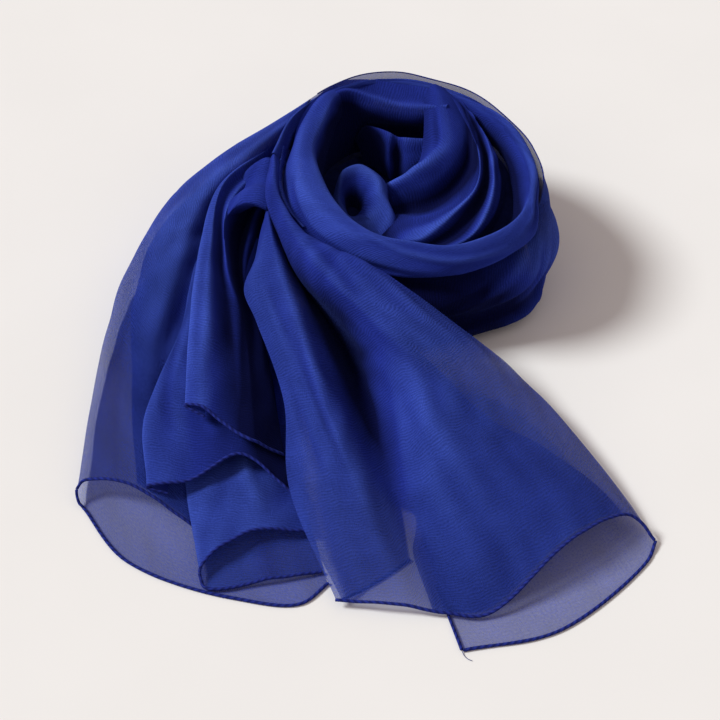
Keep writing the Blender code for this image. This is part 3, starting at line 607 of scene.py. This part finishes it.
def undulate(grid):
    """Slow, uneven swells, as limp cloth always has, and a finer ripple over them."""
    u = lengths_along(grid, 0)
    v = lengths_along(grid, 1)
    across = np.sin(u / SWELL_ACROSS + 1.3 * np.sin(v / ACROSS_SWAY))
    along = np.sin(v / SWELL_ALONG + 0.8 * np.sin(u / ALONG_SWAY))
    ripple = np.sin(u / RIPPLE_ACROSS + v / RIPPLE_ALONG + 2 * np.sin(v / RIPPLE_SWAY))
    swell = across * along + RIPPLE_SHARE * ripple
    return grid + outward_normals(grid) * (SWELL * swell)[..., None]


def layer_counts(name, shape):
    """Layers of chiffon at every point of a sheet."""
    layers = LAYERS[name]
    if not isinstance(layers, tuple):
        return np.full(shape, float(layers))
    table = np.array(layers, dtype=float)
    folds = np.linspace(0, table.shape[0] - 1, shape[0])
    stations = np.linspace(0, table.shape[1] - 1, shape[1])
    return sample(table, *np.meshgrid(folds, stations, indexing='ij'))


# Used only by the material, for painted highlight on crests and painted shade in hollows.
def relief_for_painted_light(grid):
    """How far each point stands above the cloth beside it, in mm; below zero in a hollow."""
    around = grid.copy()
    for _ in range(EASE_ROUNDS):
        around[1:-1] = (around[:-2] + 2 * around[1:-1] + around[2:]) / 4
    return np.sum((grid - around) * outward_normals(grid), axis=2)


def inner_layer(grid, fineness, depth, left, right):
    """A layer inside a folded end: part of its upper sheet, moved inwards."""
    along, across = INNER_STEPS
    start = smooth_line(left, along)
    end = smooth_line(right, along)
    share = np.linspace(0, 1, across)[:, None, None]
    places = start + (end - start) * share
    inside = grid - outward_normals(grid) * depth
    points = sample(inside, places[..., 0] * fineness[1], places[..., 1] * fineness[0])
    points[..., 2] = np.maximum(points[..., 2], CLOTH_LIFT)
    return points


# --------------------------------------------------------------- the materials
def linear(hex_colour):
    """An sRGB hex colour as linear red, green, blue and alpha."""
    values = [int(hex_colour[i:i + 2], 16) / 255 for i in (0, 2, 4)]
    return (*[v / 12.92 if v <= 0.04045 else ((v + 0.055) / 1.055) ** 2.4 for v in values], 1.0)


def add_node(tree, kind, links=(), **settings):
    """A node with its settings; links are (socket, value or another node's socket)."""
    node = tree.nodes.new(kind)
    for name, value in settings.items():
        setattr(node, name, value)
    for socket, value in links:
        if isinstance(value, bpy.types.NodeSocket):
            tree.links.new(value, node.inputs[socket])
        else:
            node.inputs[socket].default_value = value
    return node


def new_material(name):
    material = bpy.data.materials.new(name)
    material.use_nodes = True
    material.node_tree.nodes.clear()
    return material, material.node_tree


def bands(pitch):
    """The scale at which Blender's wave texture repeats after this many mm."""
    return 2 * math.pi / (20 * pitch)


YARN_PITCH = 0.9        # mm; real yarns are 0.25 mm apart, drawn coarser so that they show
RIB_PITCH = 2.2         # mm; real crepe crinkles every 0.8 mm or so, drawn coarser too
CREPE_GRAIN = 1.6       # mm, the uneven pebble of crepe-twisted yarns, likewise coarser
WANDER = 16.0           # mm from one bend of the yarns to the next
SWAY = 9.0              # mm by which they leave the straight there
YARN_HEIGHT = 0.3       # heights of yarns and ribs, the pebble's being 1
RIB_HEIGHT = 0.5
TONE_PATCH = 35.0       # mm, patches that took a little more or less of the dye
PACKED_PATCH = 9.0      # mm, from one pressed layer's edge to the next
PAINTED_HOLLOW_SHADE = "070a33"     # painted shade, in a gathered hollow
COBALT_DYE = "22308a"
PAINTED_CREST_HIGHLIGHT = "4159bd"      # painted highlight, along a crest
BLOOM = "5a72e6"        # the colour of light on the yarns' loose fibres
HEM_DYES = ("141b58", "243086")     # between stitches, on them
# near black: painted shade for the packed core; the mottle between the two is its pressed
# layers
PACKED_PAINTED_SHADE = ("0a0e2c", "182056")
BOARD_PAINTS = ("ebe9e7", "f1efed")
ONE_LAYER = 0.70        # share of light that one layer of chiffon stops
THIN_PLACE = -0.11      # what that share changes by between the yarns' crossings
THICK_PLACE = 0.09      # and on them
FOLD_DEPTH = 4.4        # mm; a crest this high gets the full painted highlight, a hollow this deep the full painted shade
LAYER_DEPTH = 0.14      # how much darker the colour is painted with each layer more than three: partly the depth of stacked cloth, partly painted shade
LIT_THROUGH = 0.5       # share of one layer's light that comes from its far side
LIT_FALL = -1.6         # power by which that share falls as the layers grow


def polyester_chiffon():
    """Plain-woven, crepe-twisted polyester, dyed cobalt: sheer, dry, with a soft bloom, painted
    highlight on its crests and painted shade in its hollows.
    """
    material, tree = new_material("cobalt_polyester_chiffon")
    place = add_node(tree, "ShaderNodeAttribute", attribute_name="cloth_mm").outputs["Vector"]
    layers = add_node(tree, "ShaderNodeAttribute", attribute_name="layers").outputs["Fac"]
    # the cloth's relief, turned into painted highlight on crests and painted shade in hollows
    crest = add_node(tree, "ShaderNodeAttribute", attribute_name="relief_for_painted_light").outputs["Fac"]

    pebble = add_node(tree, "ShaderNodeTexNoise", [
        ("Vector", place), ("Scale", 1 / CREPE_GRAIN), ("Detail", 2.0), ("Roughness", 0.6)])
    wander = add_node(tree, "ShaderNodeTexNoise", [
        ("Vector", place), ("Scale", 1 / WANDER), ("Detail", 2.0), ("Roughness", 0.5)])
    swayed = add_node(tree, "ShaderNodeVectorMath", [
        (0, wander.outputs["Color"]), (1, (SWAY,) * 3), (2, place)],
        operation='MULTIPLY_ADD')
    ribs = add_node(tree, "ShaderNodeTexWave", [
        ("Vector", swayed.outputs[0]), ("Scale", bands(RIB_PITCH)), ("Distortion", 2.0),
        ("Detail", 1.0)], wave_type='BANDS', bands_direction='Y')
    yarns = add_node(tree, "ShaderNodeTexWave", [
        ("Vector", swayed.outputs[0]), ("Scale", bands(YARN_PITCH)), ("Distortion", 0.8),
        ("Detail", 1.0)], wave_type='BANDS', bands_direction='X')
    weave = add_node(tree, "ShaderNodeMath", [
        (0, yarns.outputs["Fac"]), (1, YARN_HEIGHT), (2, pebble.outputs["Fac"])],
        operation='MULTIPLY_ADD')
    relief = add_node(tree, "ShaderNodeMath", [
        (0, ribs.outputs["Fac"]), (1, RIB_HEIGHT), (2, weave.outputs[0])],
        operation='MULTIPLY_ADD')

    # more yarn is in the way where the pebble is thick
    stopped = add_node(tree, "ShaderNodeMapRange", [
        ("Value", weave.outputs[0]), ("From Min", 0.35), ("From Max", 1.05),
        ("To Min", ONE_LAYER + THIN_PLACE), ("To Max", ONE_LAYER + THICK_PLACE)])
    passed = add_node(tree, "ShaderNodeMath", [(0, 1.0), (1, stopped.outputs[0])],
                      operation='SUBTRACT')
    through = add_node(tree, "ShaderNodeMath", [(0, passed.outputs[0]), (1, layers)],
                       operation='POWER')

    # painted highlight along the crests and paler where few layers lie, painted shade deepest
    # in a gathered hollow
    height = add_node(tree, "ShaderNodeMapRange", [
        ("Value", crest), ("From Min", -FOLD_DEPTH), ("From Max", FOLD_DEPTH)])
    # each layer more than three deepens the colour: partly the depth of stacked cloth, partly
    # painted shade
    gathered = add_node(tree, "ShaderNodeMath", [
        (0, layers), (1, -LAYER_DEPTH), (2, 3 * LAYER_DEPTH)], operation='MULTIPLY_ADD')
    depth = add_node(tree, "ShaderNodeMath", [
        (0, height.outputs[0]), (1, gathered.outputs[0])], operation='ADD')
    # the ramp runs from painted shade through the cloth's own cobalt to painted highlight
    dye = add_node(tree, "ShaderNodeValToRGB", [("Fac", depth.outputs[0])])
    dye.color_ramp.elements[0].color = linear(PAINTED_HOLLOW_SHADE)
    dye.color_ramp.elements[1].color = linear(PAINTED_CREST_HIGHLIGHT)
    dye.color_ramp.elements.new(0.5).color = linear(COBALT_DYE)
    tone = add_node(tree, "ShaderNodeTexNoise", [
        ("Vector", place), ("Scale", 1 / TONE_PATCH), ("Detail", 2.0)])
    uneven = add_node(tree, "ShaderNodeMath", [
        (0, relief.outputs[0]), (1, 0.9), (2, tone.outputs["Fac"])], operation='MULTIPLY_ADD')
    shade = add_node(tree, "ShaderNodeHueSaturation", [
        ("Color", dye.outputs["Color"]), ("Saturation", 1.0),
        ("Value", add_node(tree, "ShaderNodeMapRange", [
            ("Value", uneven.outputs[0]), ("From Min", 0.6), ("From Max", 2.0),
            ("To Min", 0.5), ("To Max", 1.5)]).outputs[0])])
    bump = add_node(tree, "ShaderNodeBump", [
        ("Height", relief.outputs[0]), ("Strength", 0.8), ("Distance", 0.45 * MM)])

    cloth = add_node(tree, "ShaderNodeBsdfPrincipled", [
        ("Base Color", shade.outputs["Color"]), ("Roughness", 0.95), ("IOR", 1.57),
        ("Specular IOR Level", 0.03), ("Sheen Weight", 0.12), ("Sheen Roughness", 0.5),
        ("Sheen Tint", linear(BLOOM)), ("Normal", bump.outputs["Normal"])])
    glow = add_node(tree, "ShaderNodeBsdfTranslucent", [
        ("Color", shade.outputs["Color"]), ("Normal", bump.outputs["Normal"])])
    fewer = add_node(tree, "ShaderNodeMath", [(0, layers), (1, LIT_FALL)], operation='POWER')
    far_side = add_node(tree, "ShaderNodeMath", [
        (0, fewer.outputs[0]), (1, LIT_THROUGH)], operation='MULTIPLY')
    yarn = add_node(tree, "ShaderNodeMixShader", [
        (0, far_side.outputs[0]), (1, cloth.outputs[0]), (2, glow.outputs[0])])
    gaps = add_node(tree, "ShaderNodeBsdfTransparent")
    sheer = add_node(tree, "ShaderNodeMixShader", [
        (0, through.outputs[0]), (1, yarn.outputs[0]), (2, gaps.outputs[0])])
    add_node(tree, "ShaderNodeOutputMaterial", [("Surface", sheer.outputs[0])])
    return material


def rolled_chiffon():
    """The same cloth rolled to a cord and overstitched: dense, darker, ribbed across."""
    material, tree = new_material("rolled_polyester_chiffon")
    place = add_node(tree, "ShaderNodeAttribute", attribute_name="cloth_mm").outputs["Vector"]
    ribs = add_node(tree, "ShaderNodeTexWave", [
        ("Vector", place), ("Scale", bands(STITCH)), ("Distortion", 1.0), ("Detail", 2.0)],
        wave_type='BANDS', bands_direction='DIAGONAL')
    dye = add_node(tree, "ShaderNodeValToRGB", [("Fac", ribs.outputs["Fac"])])
    for stop, colour in zip(dye.color_ramp.elements, HEM_DYES):
        stop.color = linear(colour)
    bump = add_node(tree, "ShaderNodeBump", [
        ("Height", ribs.outputs["Fac"]), ("Strength", 0.5), ("Distance", 0.3 * MM)])
    cloth = add_node(tree, "ShaderNodeBsdfPrincipled", [
        ("Base Color", dye.outputs["Color"]), ("Roughness", 0.8), ("IOR", 1.57),
        ("Specular IOR Level", 0.06), ("Sheen Weight", 0.12), ("Sheen Roughness", 0.5),
        ("Sheen Tint", linear(BLOOM)), ("Normal", bump.outputs["Normal"])])
    add_node(tree, "ShaderNodeOutputMaterial", [("Surface", cloth.outputs[0])])
    return material


def packed_chiffon():
    """Many layers pressed together, coloured almost black: painted shade, for the core deep
    inside the rosette.
    """
    material, tree = new_material("packed_polyester_chiffon")
    place = add_node(tree, "ShaderNodeTexCoord").outputs["Object"]
    layers = add_node(tree, "ShaderNodeTexNoise", [
        ("Vector", place), ("Scale", 1 / (PACKED_PATCH * MM)), ("Detail", 3.0),
        ("Roughness", 0.6)])
    dye = add_node(tree, "ShaderNodeValToRGB", [("Fac", layers.outputs["Fac"])])
    for stop, colour in zip(dye.color_ramp.elements, PACKED_PAINTED_SHADE):
        stop.color = linear(colour)
    cloth = add_node(tree, "ShaderNodeBsdfPrincipled", [
        ("Base Color", dye.outputs["Color"]), ("Roughness", 0.95), ("IOR", 1.57),
        ("Specular IOR Level", 0.02)])
    add_node(tree, "ShaderNodeOutputMaterial", [("Surface", cloth.outputs[0])])
    return material


def painted_board():
    """Board sanded and rolled with wall paint: matt, off-white, hardly mottled."""
    material, tree = new_material("matt_painted_board")
    place = add_node(tree, "ShaderNodeTexCoord").outputs["Object"]
    mottle = add_node(tree, "ShaderNodeTexNoise", [
        ("Vector", place), ("Scale", 6.0), ("Detail", 3.0)])
    paint = add_node(tree, "ShaderNodeValToRGB", [("Fac", mottle.outputs["Fac"])])
    for stop, colour in zip(paint.color_ramp.elements, BOARD_PAINTS):
        stop.color = linear(colour)
    board = add_node(tree, "ShaderNodeBsdfPrincipled", [
        ("Base Color", paint.outputs["Color"]), ("Roughness", 0.9), ("IOR", 1.5),
        ("Specular IOR Level", 0.15)])
    add_node(tree, "ShaderNodeOutputMaterial", [("Surface", board.outputs[0])])
    return material


# ------------------------------------------------------------------ the pieces
def grid_faces(folds, stations):
    return [(i * stations + j, (i + 1) * stations + j,
             (i + 1) * stations + j + 1, i * stations + j + 1)
            for i in range(folds - 1) for j in range(stations - 1)]


def add_piece(name, points, faces, material, values):
    """A smooth mesh in the scene that rides on the scarf's body."""
    mesh = bpy.data.meshes.new(name)
    mesh.from_pydata(to_metres(points).tolist(), [], faces)
    mesh.shade_smooth()
    for value_name, (kind, value) in values.items():
        layer = mesh.attributes.new(value_name, kind, 'POINT')
        layer.data.foreach_set('vector' if kind == 'FLOAT_VECTOR' else 'value',
                               np.asarray(value, dtype=np.float32).ravel())
    mesh.materials.append(material)
    piece = bpy.data.objects.new(name, mesh)
    bpy.context.scene.collection.objects.link(piece)
    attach(piece, "root")
    return piece


def lay_sheet(name, grid, layers, material):
    """One thin sheet of chiffon through its grid, with its weave running along it."""
    folds, stations = grid.shape[:2]
    place = np.zeros(grid.shape)
    place[..., 0] = lengths_along(grid, 0)
    place[..., 1] = lengths_along(grid, 1)
    return add_piece(name, grid.reshape(-1, 3), grid_faces(folds, stations), material,
                     {"cloth_mm": ('FLOAT_VECTOR', place),
                                        "layers": ('FLOAT', layers),
                                        "relief_for_painted_light": ('FLOAT', relief_for_painted_light(grid))})


def even_steps(line, step):
    """A line of points (n x 3) laid out again with a point every so many mm."""
    travel = np.concatenate(([0.0], np.cumsum(np.linalg.norm(np.diff(line, axis=0), axis=1))))
    at = np.linspace(0, travel[-1], max(int(travel[-1] / step), 2))
    return np.column_stack([np.interp(at, travel, line[:, k]) for k in range(3)]), at


def tube(name, centre, side, up, radius, travel, material):
    """A closed round cord along a line; the radius is given at every point round it."""
    count, sides = radius.shape
    turn = np.arange(sides) * 2 * math.pi / sides
    points = (centre[:, None] + side[:, None] * (radius * np.cos(turn))[..., None]
              + up[:, None] * (radius * np.sin(turn))[..., None])
    faces = [(i * sides + j, (i + 1) * sides + j,
              (i + 1) * sides + (j + 1) % sides, i * sides + (j + 1) % sides)
             for i in range(count - 1) for j in range(sides)]
    faces.append(tuple(range(sides)))
    faces.append(tuple(reversed(range((count - 1) * sides, count * sides))))
    place = np.zeros(points.shape)
    place[..., 0] = travel[:, None]
    place[..., 1] = turn
    return add_piece(name, points.reshape(-1, 3), faces, material,
                     {"cloth_mm": ('FLOAT_VECTOR', place)})


def roll_hem(name, edge, inward, lowest, material, width=HEM_WIDTH):
    """A rolled hem along a sheet's edge: a cord, pulled in where its stitches slant over it."""
    edge, travel = even_steps(edge, HEM_STEP)
    inward = even_steps(inward, HEM_STEP)[0]
    share = np.linspace(0, 1, len(edge))
    inward = np.column_stack([np.interp(share, np.linspace(0, 1, len(inward)), inward[:, k])
                              for k in range(3)])
    along = unit(np.gradient(edge, axis=0))
    outward = edge - inward
    outward = unit(outward - along * np.sum(outward * along, axis=1)[:, None])
    up = np.cross(along, outward)
    up = up * np.sign(up[:, 2:] + 1e-6)
    centre = edge + outward * (width / 2 - HEM_OVERLAP)
    centre[:, 2] = np.maximum(centre[:, 2], lowest - CLOTH_LIFT + width / 2)
    turn = np.arange(HEM_SIDES) * 2 * math.pi / HEM_SIDES
    stitch = np.sin(travel[:, None] * 2 * math.pi / STITCH + STITCH_SLANT * turn[None, :])
    pulled = 1 - STITCH_PULL + STITCH_PULL * stitch
    slack = 1 + SLACK * np.sin(travel / SLACK_RUN + 2 * np.sin(travel / SLACK_SWAY))
    groove = 1 - GROOVE_DEPTH * np.exp(-((turn - GROOVE_AT) / GROOVE_WIDTH) ** 2)
    radius = width / 2 * slack[:, None] * pulled * groove[None, :]
    return tube(name, centre, outward, up, radius, travel, material)


def thread_tail(name, places, material):
    """The end of the hem's sewing thread, left a little long."""
    line = smooth_through(places, THREAD_STEPS)
    along = unit(np.gradient(line, axis=0))
    side = unit(np.cross(along, (0.0, 0.0, 1.0)))
    radius = np.full((len(line), THREAD_SIDES), THREAD / 2)
    return tube(name, line, side, np.cross(side, along), radius,
                lengths_along(line[:, None], 0)[:, 0], material)


def stretch_folds():
    """The folds of every stretch, by its node's name, from the floor upwards."""
    return {
        "outer_turn": turn_folds(OUTER_TURN, COIL),
        "rim_turn": turn_folds(RIM_TURN, COIL),
        "middle_turn": turn_folds(MIDDLE_TURN, COIL),
        "eye_scroll": turn_folds(EYE_SCROLL, EYE),
        "inner_turn": table_folds(INNER_TURN),
        "far_fold": table_folds(FAR_FOLD),
        "left_outer_fold": table_folds(LEFT_OUTER_FOLD),
        "left_under_fold": table_folds(LEFT_UNDER_FOLD),
        "left_middle_fold": table_folds(LEFT_MIDDLE_FOLD),
        "left_top_fold": table_folds(LEFT_TOP_FOLD),
        "right_upper_layer": table_folds(RIGHT_UPPER_LAYER),
        "right_lower_layer": table_folds(RIGHT_LOWER_LAYER),
        "right_finger_tuck": table_folds(RIGHT_FINGER_TUCK),
    }


def shape_sheet(name, folds, lowest):
    """A stretch's points: laid through its table, creased and gently swelled."""
    grid = cloth_points(folds, *FINENESS[name], lowest)
    for sheet_name, height, width, *places in CREASES:
        if sheet_name == name:
            grid = crease(grid, FINENESS[name], height, width, places)
    grid = undulate(grid)
    grid[..., 2] = np.maximum(grid[..., 2], lowest)
    return grid


def hem_sheet(name, grid, lowest, rolled):
    """The hems along a stretch's free edges, and the thread at its corner."""
    steps = FINENESS[name][0]
    hems = []
    if name.startswith(("left", "right")):
        hems.append(roll_hem("rolled_hem_" + name, grid[:, -1], grid[:, -2], lowest, rolled))
    if name == "outer_turn":
        free = grid[:, int(TOP_HEM_FROM * steps):int(TOP_HEM_TO * steps)]
        hems.append(roll_hem("rolled_hem_outer_turn", free[-1], free[-2], lowest, rolled,
                             TOP_HEM_WIDTH))
    if name == "right_lower_layer":
        start = int(FREE_HEM_FROM * steps)
        hems.append(roll_hem("rolled_hem_free_edge", grid[-1, start:], grid[-2, start:],
                             lowest, rolled))
        hems.append(thread_tail("thread_tail", THREAD_TAIL, rolled))
    return hems


def build_scarf():
    chiffon = polyester_chiffon()
    rolled = rolled_chiffon()
    for name, folds in stretch_folds().items():
        lowest = CLOTH_LIFT + LAYER_STEP if name == "left_under_fold" else CLOTH_LIFT
        grid = shape_sheet(name, folds, lowest)
        sheet = lay_sheet(name + "_cloth", grid, layer_counts(name, grid.shape[:2]), chiffon)
        hems = hem_sheet(name, grid, lowest, rolled)
        if hems:
            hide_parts("hem_" + name)
        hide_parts(name)
        for inner, upper, depth, layers, left, right in INNER_LAYERS:
            if upper == name:
                points = inner_layer(grid, FINENESS[name], depth, left, right)
                inside = lay_sheet(inner, points, np.full(points.shape[:2], layers), chiffon)
    for name, table in (("throat_fold", THROAT_FOLD), ("pocket_roof", POCKET_ROOF)):
        points = undulate(cloth_points(table_folds(table), *SMALL_FOLD_STEPS))
        layers = np.full(points.shape[:2], SMALL_FOLD_LAYERS)
        lay_sheet(name, points, layers, chiffon)
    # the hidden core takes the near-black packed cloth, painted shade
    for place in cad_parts["coil_core"].material_slots:
        place.material = packed_chiffon()


# --------------------------------------------------- floor, light and camera
VIEW_ELEVATION = math.radians(48)
VIEW_DISTANCE = 1.2     # metres
LENS = 75.0             # mm on a 36 mm wide sensor
KEY_FROM = (-3.7, 0.63, 3.28)       # only the direction counts: from the left, high up
KEY_STRENGTH = 3.05
KEY_SOFTNESS = math.radians(17)
KEY_COLOUR = (0.955, 0.995, 1.0)
ROOM_STRENGTH = 0.42
ROOM_COLOUR = "fff0eb"
FLOOR_REACH = 4.0       # metres each way


def add_floor():
    mesh = bpy.data.meshes.new("studio_floor")
    corners = [(x * FLOOR_REACH, y * FLOOR_REACH, 0)
               for x, y in ((-1, -1), (1, -1), (1, 1), (-1, 1))]
    mesh.from_pydata(corners, [], [(0, 1, 2, 3)])
    mesh.materials.append(painted_board())
    floor = bpy.data.objects.new("studio_floor", mesh)
    bpy.context.scene.collection.objects.link(floor)


def add_light():
    key = bpy.data.lights.new("soft_key", 'SUN')
    key.energy = KEY_STRENGTH
    key.angle = KEY_SOFTNESS
    key.color = KEY_COLOUR
    holder = bpy.data.objects.new("soft_key", key)
    holder.location = KEY_FROM
    holder.rotation_euler = (-Vector(KEY_FROM)).to_track_quat('-Z', 'Y').to_euler()
    bpy.context.scene.collection.objects.link(holder)
    world = bpy.data.worlds.new("pale_room")
    world.use_nodes = True
    room = world.node_tree.nodes["Background"].inputs
    room["Color"].default_value = linear(ROOM_COLOUR)
    room["Strength"].default_value = ROOM_STRENGTH
    bpy.context.scene.world = world
    bpy.context.scene.view_settings.view_transform = 'Standard'


def add_camera():
    lens = bpy.data.cameras.new("camera")
    lens.lens = LENS
    lens.sensor_width = 36.0
    camera = bpy.data.objects.new("camera", lens)
    bpy.context.scene.collection.objects.link(camera)
    aim = Vector(to_metres((0.0, 0.0, 0.0)))        # where the tables are measured from
    camera.location = aim + VIEW_DISTANCE * Vector(
        (0, -math.cos(VIEW_ELEVATION), math.sin(VIEW_ELEVATION)))
    camera.rotation_euler = (aim - camera.location).to_track_quat('-Z', 'Y').to_euler()
    bpy.context.scene.camera = camera


build_scarf()
add_floor()
add_light()
add_camera()
